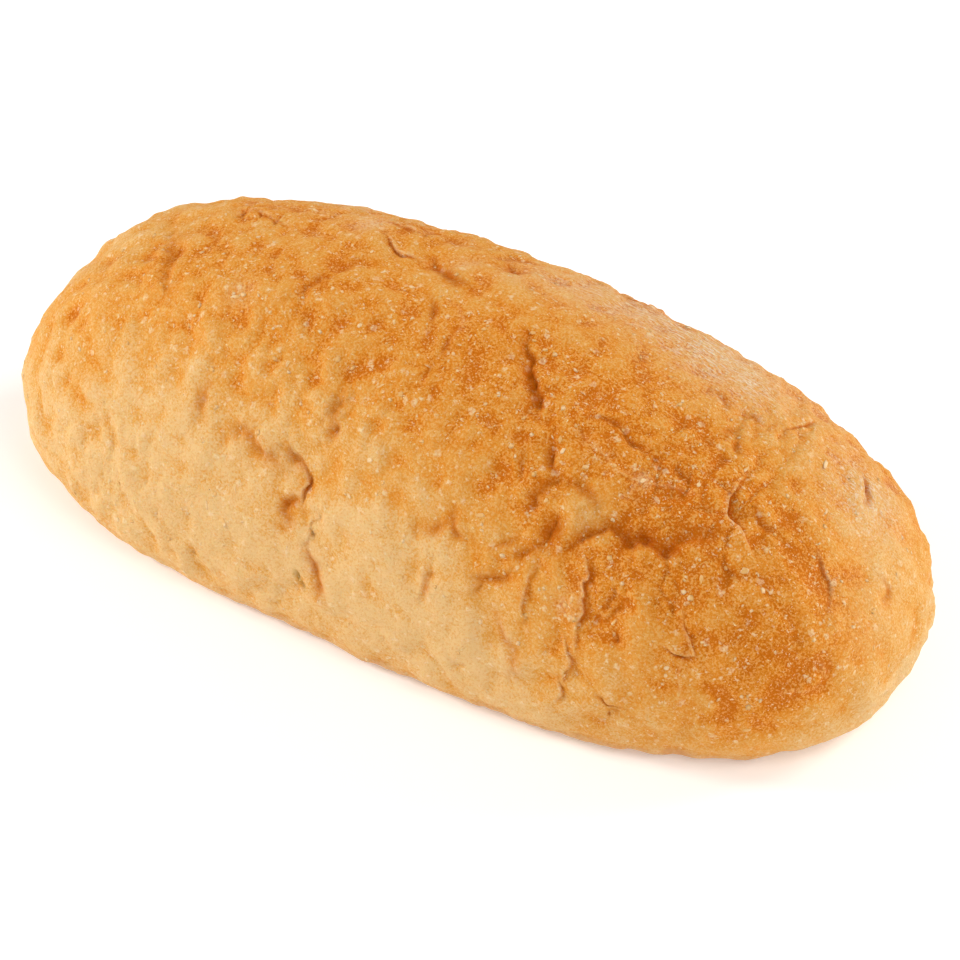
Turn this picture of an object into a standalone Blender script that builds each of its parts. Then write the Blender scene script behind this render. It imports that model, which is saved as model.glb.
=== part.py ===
"""A whole hand-shaped sourdough loaf: one baked piece with a flat base.

The loaf lies along X and stands on its base at Z = 0. Its ground form is a superellipse in plan and
in section. Broad swells and hollows, as dough sets them in the oven, are laid over that form.
"""

import math

import bmesh
import bpy
from mathutils import Matrix, Vector

MM = 0.001

# Driving dimensions, in metres.
LENGTH = 0.260
WIDTH = 0.115
HEIGHT = 0.088
WAIST_HEIGHT = 0.0195  # level at which the loaf is widest
CELL = 0.0066  # side of one cell of the mesh
CUT_SNAP = 0.0004  # how near a corner is to the base plane when it is moved onto it

# Exponents of the superellipses: 2 is an ellipse, and larger is squarer.
PLAN_SQUARENESS = 2.57
DOME_SQUARENESS = 2.07
FOOT_SQUARENESS = 8.0

END_TAPER = 0.07  # share by which the +X end is wider and the -X end narrower
DOME_LEAN = -0.10  # share by which the dome is lower at the +X end and higher at the -X end
FOOT_TUCK = 0.06  # share by which the loaf draws in from the waist to the base
FOOT_SINK = 1.04  # depth of the lower half over the waist height, so that the base cuts it flat

# Broad swells (+) and hollows (-) of the crust. The place is the distance along X in millimetres and
# the degrees round the waist line: 0 is the middle of the -Y side, 90 the top, 180 the +Y side.
SWELLS = (
    # along, round, radius, height
    (110, 32, 20, 1.4),
    (79, 20, 14, 1.7),
    (24, 12, 22, -0.3),
    (-30, -6, 36, -2.2),
    (66, -10, 16, 1.6),
    (8, 48, 24, 1.2),
    (43, 92, 24, 0.8),
    (90, 100, 18, 1.4),
    (-60, 88, 24, -0.4),
    (-70, 150, 24, 0.4),
    (34, 150, 26, -0.3),
    (105, 150, 20, 0.9),
    (-20, 25, 17, -2.2),
    (76, 54, 16, -2.8),
    (50, 54, 14, -1.4),
    (30, 72, 13, -1.5),
    (-18, 95, 15, -0.8),
    (60, 3, 12, -1.5),
    (62, 25, 11, -1.4),
    (-85, 68, 18, -1.2),
    (-20, 165, 22, -1.5),
    (10, 125, 20, 1.2),
    (-104, 130, 16, 1.4),
)

CRUST_COLOUR = (0.60, 0.29, 0.075, 1.0)  # linear golden brown
CRUST_ROUGHNESS = 0.62


def clear_scene():
    for obj in list(bpy.data.objects):
        bpy.data.objects.remove(obj, do_unlink=True)


def crust_material():
    material = bpy.data.materials.new("baked_crust")
    material.use_nodes = True
    shader = material.node_tree.nodes["Principled BSDF"]
    shader.inputs["Base Color"].default_value = CRUST_COLOUR
    shader.inputs["Roughness"].default_value = CRUST_ROUGHNESS
    shader.inputs["Metallic"].default_value = 0.0
    return material


def superellipse_norm(a, b, squareness):
    """How far out (a, b) lies, where 1 is on the superellipse."""
    return (abs(a) ** squareness + abs(b) ** squareness) ** (1 / squareness)


def form_norm(direction):
    """How far out a point lies, where 1 is on the ground form, in shares of its half sizes."""
    along, across, up = direction
    plan = superellipse_norm(along, across, PLAN_SQUARENESS)
    return superellipse_norm(plan, up, DOME_SQUARENESS if up >= 0 else FOOT_SQUARENESS)


def on_loaf(direction):
    """The point where a direction from the middle of the waist meets the ground form.

    The direction is in shares of the half length, half width and half height.
    """
    along, across, up = direction / form_norm(direction)
    if up >= 0:
        rise = (HEIGHT - WAIST_HEIGHT) * (1 + DOME_LEAN * along)
        tuck = 1
    else:
        rise = WAIST_HEIGHT * FOOT_SINK
        tuck = 1 - FOOT_TUCK * up ** 2
    return Vector((
        along * LENGTH / 2 * tuck,
        across * (1 + END_TAPER * along) * WIDTH / 2 * tuck,
        WAIST_HEIGHT + up * rise,
    ))


def place_on_loaf(along_mm, round_degrees):
    """The point of the upper ground form at a distance along X and an angle round the waist line."""
    along = along_mm * MM / (LENGTH / 2)
    turn = math.radians(round_degrees)
    across = -math.cos(turn) / (WIDTH / 2)
    up = math.sin(turn) / (HEIGHT - WAIST_HEIGHT)
    near, far = 0.0, LENGTH
    for _ in range(40):
        middle = (near + far) / 2
        if form_norm(Vector((along, across * middle, up * middle))) < 1:
            near = middle
        else:
            far = middle
    return on_loaf(Vector((along, across * far, up * far)))


def swell(point, spots):
    """The point pushed out or in by every swell that reaches it."""
    outward = (point - Vector((0, 0, WAIST_HEIGHT))).normalized()
    push = 0.0
    for spot, radius, height in spots:
        share = (point - spot).length / radius
        push += height * math.exp(-share * share)
    return point + outward * push


def fine_box():
    """A box, two units a side, whose cells come out even once they are moved onto the loaf."""
    box = bmesh.new()
    bmesh.ops.create_cube(box, size=2)
    for axis, side in enumerate((LENGTH, WIDTH, HEIGHT)):
        along_axis = [
            edge for edge in box.edges
            if abs((edge.verts[0].co - edge.verts[1].co)[axis]) > 1e-6
        ]
        cuts = round(side / CELL) - 1
        bmesh.ops.subdivide_edges(box, edges=along_axis, cuts=cuts, use_grid_fill=True)
    return box


def fit_to_dimensions(work):
    """Centres the loaf over the origin and gives it the stated length, width and height."""
    low = Vector(min(v.co[axis] for v in work.verts) for axis in range(3))
    high = Vector(max(v.co[axis] for v in work.verts) for axis in range(3))
    low.z = 0.0
    size = high - low
    middle = (low + high) / 2
    stretch = Matrix.Diagonal((LENGTH / size.x, WIDTH / size.y, HEIGHT / size.z, 1))
    shift = Matrix.Translation((-middle.x, -middle.y, 0))
    bmesh.ops.transform(work, matrix=stretch @ shift, verts=work.verts)


def cut_base(work):
    """Cuts the loaf flat at Z = 0 and closes it with the one face that it rests on."""
    for vertex in work.verts:
        if abs(vertex.co.z) < CUT_SNAP:
            vertex.co.z = 0.0
    bmesh.ops.bisect_plane(
        work,
        geom=work.verts[:] + work.edges[:] + work.faces[:],
        dist=1e-6,
        plane_no=(0, 0, 1),
        clear_inner=True,
    )
    rim = [edge for edge in work.edges if edge.is_boundary]
    bmesh.ops.edgeloop_fill(work, edges=rim)
    bmesh.ops.recalc_face_normals(work, faces=work.faces)


def loaf_mesh():
    work = fine_box()
    spots = [
        (place_on_loaf(along, turn), radius * MM, height * MM)
        for along, turn, radius, height in SWELLS
    ]
    for vertex in work.verts:
        vertex.co = swell(on_loaf(vertex.co), spots)
    fit_to_dimensions(work)
    cut_base(work)
    mesh = bpy.data.meshes.new("loaf")
    work.to_mesh(mesh)
    work.free()
    return mesh


def make_loaf(collection):
    mesh = loaf_mesh()
    mesh.materials.append(crust_material())
    mesh.shade_smooth()
    loaf = bpy.data.objects.new("loaf", mesh)
    collection.objects.link(loaf)


def main():
    clear_scene()
    collection = bpy.data.collections.new("sourdough_loaf")
    bpy.context.scene.collection.children.link(collection)
    make_loaf(collection)


main()
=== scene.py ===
"""Looks of a whole hand-shaped sourdough loaf, laid out as an add-on and run as a script.

The crust is one mesh. A box of even cells is moved out onto the loaf's form, made finer along each
crease, and then sculpted: swells, hollows, creases, folds, dents and blisters, each a short list of
places. Bran flakes and clots of flour that stick to the crust are a second piece.
"""

import math
import random

import bmesh
import bpy
import numpy as np
from mathutils import Matrix, Vector, noise
from mathutils.kdtree import KDTree


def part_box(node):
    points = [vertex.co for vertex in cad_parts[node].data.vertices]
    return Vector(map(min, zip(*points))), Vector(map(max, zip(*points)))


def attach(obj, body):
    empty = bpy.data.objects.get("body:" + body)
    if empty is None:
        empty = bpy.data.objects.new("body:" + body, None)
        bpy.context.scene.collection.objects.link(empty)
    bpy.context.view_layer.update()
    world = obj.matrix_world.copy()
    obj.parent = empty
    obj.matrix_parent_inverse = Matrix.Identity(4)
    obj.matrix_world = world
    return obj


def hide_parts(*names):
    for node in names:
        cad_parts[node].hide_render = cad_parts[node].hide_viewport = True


bl_info = {
    "name": "Sourdough Loaf",
    "version": (1, 0, 0),
    "blender": (4, 5, 0),
    "location": "View3D > Sidebar > Loaf",
    "description": "Models a whole hand-shaped loaf with its baked crust",
    "category": "Add Mesh",
}

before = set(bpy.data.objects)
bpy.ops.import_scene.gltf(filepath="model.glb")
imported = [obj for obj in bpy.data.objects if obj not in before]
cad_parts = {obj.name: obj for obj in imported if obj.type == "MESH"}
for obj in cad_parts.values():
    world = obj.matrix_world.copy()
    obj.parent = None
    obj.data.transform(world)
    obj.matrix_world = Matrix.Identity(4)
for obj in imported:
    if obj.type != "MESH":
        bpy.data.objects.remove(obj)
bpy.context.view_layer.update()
LOAF_LOW, LOAF_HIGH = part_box("loaf")
LOAF_SIZE = LOAF_HIGH - LOAF_LOW

MM = 0.001

# The ground form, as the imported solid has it. An exponent of 2 gives an ellipse, a larger one a
# squarer shape.
WAIST_HEIGHT = 0.0195
PLAN_SQUARENESS = 2.57
DOME_SQUARENESS = 2.07
FOOT_SQUARENESS = 8.0
END_TAPER = 0.07
DOME_LEAN = -0.10
FOOT_TUCK = 0.06
FOOT_SINK = 1.04

# How often the search for a place on the form halves its step, and what counts as no length.
HALVINGS = 40
NO_LENGTH = 1e-6

# A place on the crust is (distance along X in millimetres, degrees round the waist line). 0 degrees
# is the middle of the -Y side at the waist, 90 the top and 180 the +Y side. Sizes are in mm.

# Broad swells (+) and hollows (-): along, round, radius, height.
SWELLS = (
    (110, 32, 20, 1.4), (79, 20, 14, 1.7), (-30, -6, 36, -2.2), (66, -10, 16, 1.6),
    (8, 48, 24, 1.2), (43, 92, 24, 0.8), (90, 100, 18, 1.4), (-60, 88, 24, -0.4),
    (-70, 150, 24, 0.4), (34, 150, 26, -0.3), (105, 150, 20, 0.9), (-20, 25, 17, -2.2),
    (76, 54, 16, -2.2), (50, 54, 14, -0.6), (30, 72, 13, -1.5), (-18, 95, 15, -0.8),
    (60, 3, 12, -1.5), (62, 25, 11, -1.4), (-85, 68, 18, -1.2), (-20, 165, 22, -1.5),
    (10, 125, 20, 1.2), (-104, 130, 16, 1.4),
)

# Creases, where the dough folded in on itself as it rose: width, depth, step, steep side, places.
# A step above 0 raises the left of the line as it runs, seen from outside, and one below 0 the
# right. A steep side above 0 is the left too, and one below 0 the right.
CREASES = (
    (2, 1.1, -1.5, -0.4, ((54, 39), (57, 41), (60, 45), (62, 47), (64, 48), (66, 50), (70, 49),
        (72, 47.5), (74, 50), (76, 50), (78, 50), (80.5, 49), (82, 51), (83, 54), (85, 56),
        (87, 58), (90, 61))),
    (0.9, 0.7, 0, 0, ((72, 49), (73, 46), (73, 43))),
    (0.9, 0.3, 0, 0, ((80, 50), (82, 46), (82, 44))),
    (2.3, 1.5, 0.4, 0, ((52, 47), (52, 44), (51, 42), (50, 40))),
    (1.8, 0.8, -0.4, 0, ((51, 41), (48, 38), (46, 36), (43, 34))),
    (1.2, 0.9, 0.4, 0.3, ((43, 66), (44, 62), (45, 60), (46, 58), (48, 57), (49, 55))),
    (1.7, 1, -0.6, 0, ((50, 56), (47, 54), (46, 52), (45, 50), (45, 48), (44, 46))),
    (1.6, 0.6, -0.5, 0, ((50, 56), (53, 56), (55, 56), (58, 55), (62, 54))),
    (1, 0.5, 0, 0, ((37, 58), (39, 55), (40, 53))),
    (1.5, 1.4, 0.6, 0.5, ((23, 84), (25, 81), (28, 79), (29, 77), (31, 75), (33, 73), (35, 71),
        (37, 67))),
    (1, 0.6, 0, 0, ((28, 72), (30, 73), (32, 73))),
    (1, 0.8, 0.5, 0, ((48, 71), (50, 72), (54, 73), (57, 73), (60, 71), (62, 71), (65, 72))),
    (1.2, 0.7, 0.3, 0, ((66, 71), (68, 70), (70, 69), (72, 70))),
    (1.2, 0.7, 0.3, 0, ((73, 71), (75, 70), (77, 70), (80, 70))),
    (1.1, 0.8, 0.3, 0, ((80, 89), (81, 86), (82, 84), (84, 85))),
    (1.2, 0.7, -0.3, 0, ((78, 93), (78, 90), (77, 88), (78, 86))),
    (1.2, 0.5, 0, 0, ((69, 98), (72, 96), (74, 95))),
    (1.1, 0.5, 0.3, 0, ((77, 95), (79, 98), (83, 98))),
    (2.2, 0.6, 0.4, 0, ((-44, 34), (-40, 37), (-37, 37), (-35, 36), (-32, 34), (-29, 34),
        (-25, 32))),
    (1.6, 0.8, 0.4, 0, ((-18.5, 32), (-20, 34), (-22, 35), (-24, 36), (-26, 38))),
    (2, 1, 0, 0, ((-19, 27), (-22, 25), (-24, 23), (-24, 21), (-23, 19), (-24, 16))),
    (2, 0.9, 0.3, 0, ((-16, 14), (-15, 11), (-13, 9), (-12, 6), (-11, 3), (-11, -2))),
    (1.4, 0.6, 0.2, 0.3, ((-51, 45), (-52, 42), (-52, 40), (-52, 37))),
    (1.6, 0.6, 0.3, 0.3, ((-13, 55), (-13, 49), (-12, 47), (-12, 45), (-13, 42))),
    (1.8, 0.6, 0.5, 0, ((42, 18), (44, 13), (45, 11), (47, 9), (48, 6), (48, 2), (47, -3))),
    (1.3, 0.8, 0.4, 0, ((33, 25), (36, 26), (39, 27), (42, 28), (44, 31))),
    (0.9, 0.4, 0, 0, ((37, 26), (36, 23), (35, 21))),
    (1.3, 0.8, 0.3, 0, ((25, 40), (26, 37), (27, 35), (30, 34))),
    (1.6, 0.5, 0.4, 0, ((17, 31), (21, 33), (23, 35), (26, 37))),
    (1.2, 0.5, 0.3, 0, ((22, 23), (22, 19), (22, 17), (21, 13))),
    (1.1, 0.5, 0.3, 0, ((44, 39), (42, 37), (40, 36), (37, 34))),
    (2.8, 0.35, 0.3, 0.3, ((-74, 62), (-79, 67), (-82, 74), (-85, 81), (-90, 90))),
    (1.7, 0.6, 0, 0, ((-37, 73), (-35, 76), (-34, 78), (-32, 80))),
    (2.2, 0.5, 0, 0, ((-31, 82), (-30, 85), (-28, 87))),
    (1.6, 1.1, 0.6, 0.4, ((-14, 98), (-10, 95), (-8, 94), (-5, 92), (-2, 91), (0, 91), (2, 91))),
    (1.1, 0.8, 0.3, 0.3, ((-4, 83), (-2, 81), (-1, 79), (0, 77))),
    (1, 0.5, 0, 0, ((7, 75), (7, 72), (7, 70))),
    (1.1, 0.4, 0, 0, ((6, 68), (6, 64))),
    (1.8, 0.7, 0.4, 0, ((3, 105), (6, 103), (8, 103), (11, 104))),
    (1, 0.7, 0, 0, ((92, 55), (93, 53), (95, 52), (97, 52))),
    (1, 0.6, 0.4, 0, ((92, 74), (95, 71), (96, 70), (98, 70), (100, 70))),
    (1.3, 0.8, 0.3, 0, ((121, 86), (123, 88), (124, 86), (124, 79))),
    (1, 1, 0.3, 0, ((105, 116), (108, 113), (109, 111), (110, 109), (110, 106))),
    (1, 0.8, 0, 0, ((72, 25), (73, 23), (73, 21))),
    (0.9, 0.5, 0.2, 0, ((69, 28), (70, 32), (71, 36))),
    (0.9, 0.5, 0.2, 0, ((70, 26), (72, 30), (74, 34))),
    (1, 0.5, 0.2, 0, ((67, 22), (68, 26), (69, 29))),
    (2, 1.1, 0.5, 0.4, ((-58, 158), (-46, 150), (-38, 152), (-30, 143))),
    (1.4, 0.9, -0.4, -0.3, ((44, 166), (49, 154), (47, 142), (53, 133))),
    (1.6, 0.9, 0.4, 0.2, ((78, 150), (88, 143), (95, 147))),
    (1.2, 0.7, 0.3, 0, ((6, 150), (2, 141), (7, 133))),
    (1.2, 0.6, 0.3, 0.3, ((-92, 143), (-86, 132), (-88, 124))),
    (1, 0.6, 0.2, 0, ((24, 124), (33, 121), (38, 124))),
)

# Skin that lifted or slid over its neighbour: height, reach, overhang, places. The raised sheet
# lies on the left of the line as it runs, seen from outside, and ends there in a sharp edge.
FOLDS = (
    (0.9, 7, 0.5, ((64, 17), (64, 21), (64, 24), (65, 27), (64, 30), (64, 32), (63, 34), (64, 36),
        (63, 39), (61, 42))),
    (0.8, 4, 0.4, ((61, 2), (62, 7), (63, 9), (63, 12), (62, 15), (61, 18))),
    (0.8, 3.5, 0.3, ((60, -9), (61, -4), (61, 0), (60, 4))),
    (0.5, 4.5, 0.2, ((50, 19), (49, 22), (49, 24), (49, 27), (49, 29), (49, 31), (51, 34))),
    (1.3, 5.5, 0.6, ((-19, 26), (-19, 29), (-18, 31), (-19, 33), (-21, 35))),
    (0.3, 3, 0.3, ((-18, 12), (-16, 17), (-16, 19), (-16, 21), (-14, 23), (-12, 25), (-11, 28))),
    (0.6, 4, 0.5, ((85, 24), (88, 23), (90, 23), (92, 24.5), (91, 27), (90, 29), (89, 31),
        (88, 35))),
    (1.3, 4.5, 0.5, ((96, 62), (93, 65), (91, 66), (89, 67), (88, 69), (87, 72), (87, 74),
        (87, 78))),
    (0.8, 4.5, 0.3, ((110, 71), (112, 68), (114, 66), (115, 63), (116, 58))),
    (0.9, 4.5, 0.4, ((-29, 99), (-25, 96), (-22, 95), (-20, 95), (-16, 95))),
    (0.7, 4, 0.3, ((-34, 107), (-30, 105), (-24, 104), (-20, 105))),
    (0.5, 4, 0.2, ((-76, 102), (-67, 98), (-61, 97), (-54, 94))),
    (0.8, 5, 0.4, ((-8, 172), (-5, 164), (-7, 156), (-3, 150))),
    (0.7, 4.5, 0.4, ((98, 158), (102, 148), (99, 138))),
    (0.6, 4, 0.3, ((-76, 170), (-72, 160), (-74, 151))),
)

# Thin raised ridges where two skins met: width, height, places.
RIDGES = (
    (0.5, 0.3, ((48, 67), (54, 66), (59, 64), (62, 63), (66, 63), (70, 64), (75, 66), (80, 67))),
    (0.5, 0.3, ((67, 63), (67, 61), (67, 58))),
    (0.4, 0.3, ((90, 22), (89, 18), (90, 13), (90, 5))),
    (0.4, 0.25, ((113, 16), (115, 17), (118, 17))),
    (0.4, 0.25, ((118, 32), (120, 27), (120, 23))),
    (0.5, 0.3, ((2, 84), (5, 82), (7, 80), (8, 76))),
    (0.6, 0.35, ((110, 108), (114, 113), (117, 117), (119, 118))),
    (0.5, 0.25, ((60, 142), (68, 138), (74, 141))),
    (0.5, 0.25, ((-40, 128), (-33, 124), (-28, 127))),
)

# Hairline cracks in the skin: width, depth, places.
CRACKS = (
    (0.35, 0.6, ((85, 24), (88, 22.5), (90, 22.5), (91, 23.5))),
    (0.35, 0.5, ((86, 101), (88, 107), (89, 115))),
    (0.35, 0.5, ((70, 3), (72, -1), (73, -3), (76, -1))),
    (0.4, 0.5, ((73, -10), (73, -15))),
    (0.5, 0.9, ((107, 114), (108, 112.5), (109, 111))),
    (0.4, 0.6, ((-14, 83), (-12, 83), (-11, 83))),
    (0.35, 0.5, ((-16, 158), (-11, 154), (-9, 155))),
    (0.35, 0.5, ((62, 160), (66, 157), (71, 158))),
)

# Small open tears that show the crumb under the skin: along, round, half width, half height, depth.
TEARS = (
    (-15, 18, 0.4, 1.4, 1.3), (-15, 5, 0.6, 1.5, 1.3), (-17, 1, 1.1, 1.4, 1.5),
    (-18.3, 3.5, 0.8, 0.8, 1.1), (93, 127, 0.6, 0.5, 0.8), (37, 168, 0.6, 1.1, 1.0),
)

# Single soft dents: along, round, radius, depth.
DENTS = (
    (-66, 26, 2.2, 0.5), (-95, 47, 2.2, 0.5), (-33, 44, 2.2, 0.5), (-22, 48, 2.2, 0.5),
    (-27, 46, 1.8, 0.4), (-43, 22, 2.2, 0.4), (-21, 22, 3.0, 0.7), (-8, 43, 2.4, 0.5),
    (6, 44, 3.0, 0.6), (0, 50, 2.6, 0.5), (45, 34, 3.0, 0.5), (53, 33, 3.5, 0.4), (58, 4, 3.0, 0.7),
    (-11, 96, 3.4, 1.0), (7, 104, 2.6, 0.8), (107, 67, 3.5, 0.8), (112, 62, 3.0, 0.8),
    (-80, 69, 3.0, 0.6), (-87, 66, 1.2, 0.5), (-89, 88, 2.4, 0.6), (-34, 78, 2.4, 0.6),
    (-30, 84, 2.4, 0.6), (81, 102, 3.0, 0.7), (90, 69, 3.2, 0.7), (73, 22, 1.6, 0.7),
    (82, 12, 1.0, 0.5), (98, 29, 1.0, 0.4), (108, 67, 0.9, 0.4), (23, 20, 2.2, 0.4),
    (55, 51, 4.5, -0.7), (66, 46, 4.0, -0.6), (76, 46, 3.6, -0.7), (86, 50, 4.0, -0.7),
    (12, 51, 3.5, 0.5), (-66, 128, 4.0, 0.7), (28, 140, 4.5, 0.7), (-100, 108, 3.0, 0.6),
)

# Places browner (+) or paler (-) than their height gives: along, round, radius, amount. Some are
# real patches of brown colour; others are painted shade, such as the dark spots in the valley at
# (80, 57) and beside the fold at (-17.5, 30), and others painted light, such as the paler places on
# the back top round 97 to 112 degrees.
TONE_AND_SHADE_SPOTS = (
    (80, 57, 9, 0.36), (79, 62, 8, 0.14), (62, 55, 8, -0.26), (80, 45, 8, -0.22),
    (96, 62, 7, -0.14), (49, 51, 4, -0.16), (44, 60, 6, -0.12), (-12, 52, 6, -0.10),
    (-40, 55, 10, -0.10), (-60, 96, 8, -0.10), (-88, 52, 8, 0.12), (68, 51, 3, 0.12),
    (51, 43, 3, 0.26), (45, 50, 3, 0.08), (34, 74, 5, 0.25), (113, 25, 12, 0.28),
    (110, 64, 7, 0.20), (-66, 76, 13, 0.06), (-84, 73, 8, 0.16), (-36, 78, 8, 0.12),
    (-33, 86, 6, 0.16), (-11, 95, 5, 0.16), (8, 73, 12, 0.06), (57, -3, 5, 0.10), (62, 12, 5, 0.08),
    (71, 24, 4, 0.06), (49, 27, 3, 0.18), (26, 37, 4, 0.16), (39, 27, 4, 0.18), (-19, 31, 4, 0.20),
    (-17.5, 30, 1.7, 0.55), (-23, 23, 4, 0.30), (-35, 36, 5, 0.18), (-13, 5, 5, 0.32),
    (-120, 45, 16, 0.36), (-104, 58, 13, 0.20), (106, 8, 14, 0.46), (123, 50, 7, 0.12),
    (57, 50, 6, -0.26), (112, 108, 12, -0.30), (114, 46, 7, -0.24), (40, 40, 7, -0.14),
    (3, 40, 12, -0.08), (88, 97, 14, -0.16), (120, 98, 16, -0.30), (62, 112, 16, -0.26),
    (88, 112, 16, -0.24), (22, 108, 14, -0.20), (-98, 33, 15, 0.18), (117, 38, 12, 0.14),
    (126, 95, 10, 0.12), (108, 12, 8, 0.10), (-8, 40, 6, 0.10), (-28, 17, 8, 0.10),
    (94, 11, 6, -0.24), (-70, 150, 14, 0.10), (40, 146, 16, 0.12), (96, 140, 12, -0.15),
)

# Places where flour stayed on the crust: along, round, radius, amount.
DUSTINGS = (
    (-36, 103, 5, 0.9), (-4, 98, 4, 0.5), (8, 99, 4, 0.4), (68, 64, 2, 0.7), (17, 107, 10, 0.6),
    (38, 111, 13, 0.7), (62, 111, 13, 0.8), (112, 110, 12, 0.5), (-53, 68, 4, 0.4),
    (60, 27, 3, 0.5), (72, 107, 8, 0.25), (124, 66, 12, 0.25), (80, 125, 20, 0.35),
    (-60, 132, 16, 0.3),
)

# Skin drawn out smooth, with fine lines along the loaf: along, round, radius, amount.
DRAWN = (
    (30, 112, 12, 0.6), (56, 112, 14, 1.0), (75, 107, 9, 0.5), (108, 110, 12, 0.8),
    (-50, 130, 20, 0.5),
)
DRAW_TURN = math.radians(15)

# Single pale flakes large enough to tell apart: along, round, length, width, turn in degrees.
LARGE_FLAKES = (
    (68, 64, 1.7, 1.2, 20), (60, 64, 1.1, 0.8, 60), (98, 54, 2.0, 1.5, 10), (95, 53, 1.4, 1.1, 80),
    (104, 64, 1.4, 0.6, 90), (103, 51, 1.4, 1.1, 70), (90, 47, 1.8, 0.8, 95),
    (80, 46, 1.0, 0.7, 70), (98, 102, 3.2, 1.0, 0), (86, 81, 2.2, 0.8, 30), (60, 27, 2.2, 1.2, 40),
    (60.5, 24.5, 1.3, 0.8, 20), (73, 27, 1.9, 0.6, 60), (87, 18, 1.3, 1.0, 10),
    (87, 15.5, 1.1, 0.7, 70), (-12, 85, 1.8, 0.8, 150), (-17, 70, 1.2, 0.9, 40),
    (-29, 76, 1.3, 0.9, 150), (13, 80, 1.1, 0.8, 150), (24, 85, 1.3, 0.8, 0), (0, 43, 2.0, 1.1, 30),
    (-1, 46, 1.4, 0.7, 40), (-48, 14, 2.4, 0.8, 100), (-42, 11, 2.2, 0.9, 110),
    (-26, 10, 2.2, 0.6, 115), (-10, 16, 1.3, 0.8, 10), (-4, 33, 1.2, 0.8, 150),
    (-54, 67, 2.2, 0.9, 20), (-52, 68, 1.6, 1.0, 15), (-76, 67, 1.2, 0.9, 100),
    (-77, 59, 1.0, 0.8, 30), (-46, 93, 1.6, 0.7, 150), (-28, 91, 1.3, 0.9, 0),
    (-21, 86, 1.5, 0.5, 160), (-18, 61, 1.5, 1.1, 80), (-4, 59, 1.9, 0.5, 60),
    (2, 59, 1.3, 1.0, 70), (79, 6, 1.2, 0.9, 20), (107, -12, 1.7, 0.9, 0), (80, 70, 1.3, 1.0, 60),
    (72, 81, 0.9, 0.7, 20), (45, 64, 1.5, 0.8, 80), (54, 61, 1.7, 1.1, 20), (47, 62, 1.5, 1.0, 90),
    (48, 50, 1.3, 0.9, 60), (62, 6, 1.5, 0.8, 30), (33, 41, 1.8, 1.0, 20), (123, 100, 1.5, 0.9, 40),
    (30, 150, 1.9, 0.9, 50), (-58, 141, 1.7, 0.8, 120), (86, 136, 1.5, 0.7, 20),
)

# Unevenness all over: grain in mm, share of the unevenness, seed, share of the wobble.
UNEVEN_LAYERS = ((26, 1.3, 5.3, 0), (12, 1.7, 9.1, 0), (6, 1.5, 2.7, 1), (3.4, 0.8, 31.9, 0))

# Dents and blisters scattered over the crust: count, radii and heights in mm, seed.
SCATTERED = (
    (1300, (0.7, 2.6), (-0.42, -0.10), 11),
    (800, (0.6, 2.0), (0.08, 0.30), 12),
)

# Along the loaf in mm: the degrees round where the brown top begins, and how brown it gets.
BROWN_FROM = ((-110, -60, 0, 25, 40, 55, 70, 110), (60, 54, 47, 40, 30, 18, 6, 4))
BROWN_MOST = ((-115, -75, 10, 50, 115, 128), (0.42, 0.70, 0.74, 0.82, 0.82, 0.50))

# How far a line wanders from its places, and the size of its bends.
WOBBLE = 0.55 * MM
WOBBLE_GRAIN = 3.2 * MM

# The spacing of a line's points, how far a crease's step reaches, and how wide a fold's edge is.
LINE_STEP = 0.35 * MM
CREASE_REACH = 4.5 * MM
FOLD_LIP = 0.5 * MM

# The mesh is halved near the lines, once within each of these.
FINER_REACHES = (3.4 * MM, 1.3 * MM)

# The height of the calmer foot, and how deep a hollow is that gets the full painted shade.
FOOT_TOP = 16 * MM
HOLLOW_DEPTH = 0.35 * MM

# Scattered flakes: least, most and usual length in mm, width as a share of it, thickness in mm.
BRAN_FLAKES = 640
FLAKE_SEED = 7
FLAKE_LENGTHS = (0.6, 2.1, 0.9)
FLAKE_WIDTHS = (0.45, 0.95)
FLAKE_THICKNESSES = (0.09, 0.16)
LARGE_FLAKE_THICKNESS = 0.18 * MM
LARGE_FLAKE_SCALE = 1.15 * MM

# The lamps, in metres: name, location, diameter, colour.
LAMPS = (
    ("key", (-1.15, -0.45, 0.62), 0.35, (1.0, 0.985, 0.96)),
    ("fill", (0.75, -0.35, 0.95), 0.8, (1.0, 1.0, 1.0)),
    ("rim", (0.75, 0.85, 0.6), 0.5, (1.0, 1.0, 1.0)),
)
LAMP_AIM = Vector((0, 0, 0.03))
SKY_STRENGTH = 0.37

# The floor lies a hair under the loaf, and reaches past the camera's view on every side.
FLOOR_SIZE = 16.0
FLOOR_GAP = 0.05 * MM

CAMERA_AZIMUTH = math.radians(30.4)
CAMERA_ELEVATION = math.radians(38.0)
CAMERA_DISTANCE = 1.2
CAMERA_LENS_MM = 173.1
CAMERA_AIM = Vector((0.0080, -0.0051, 0.0317))


def linear(code):
    """The linear colour of an sRGB hex value."""
    channels = [int(code[i:i + 2], 16) / 255 for i in (0, 2, 4)]
    return tuple(c / 12.92 if c <= 0.04045 else ((c + 0.055) / 1.055) ** 2.4 for c in channels)


# ---- settings


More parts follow.
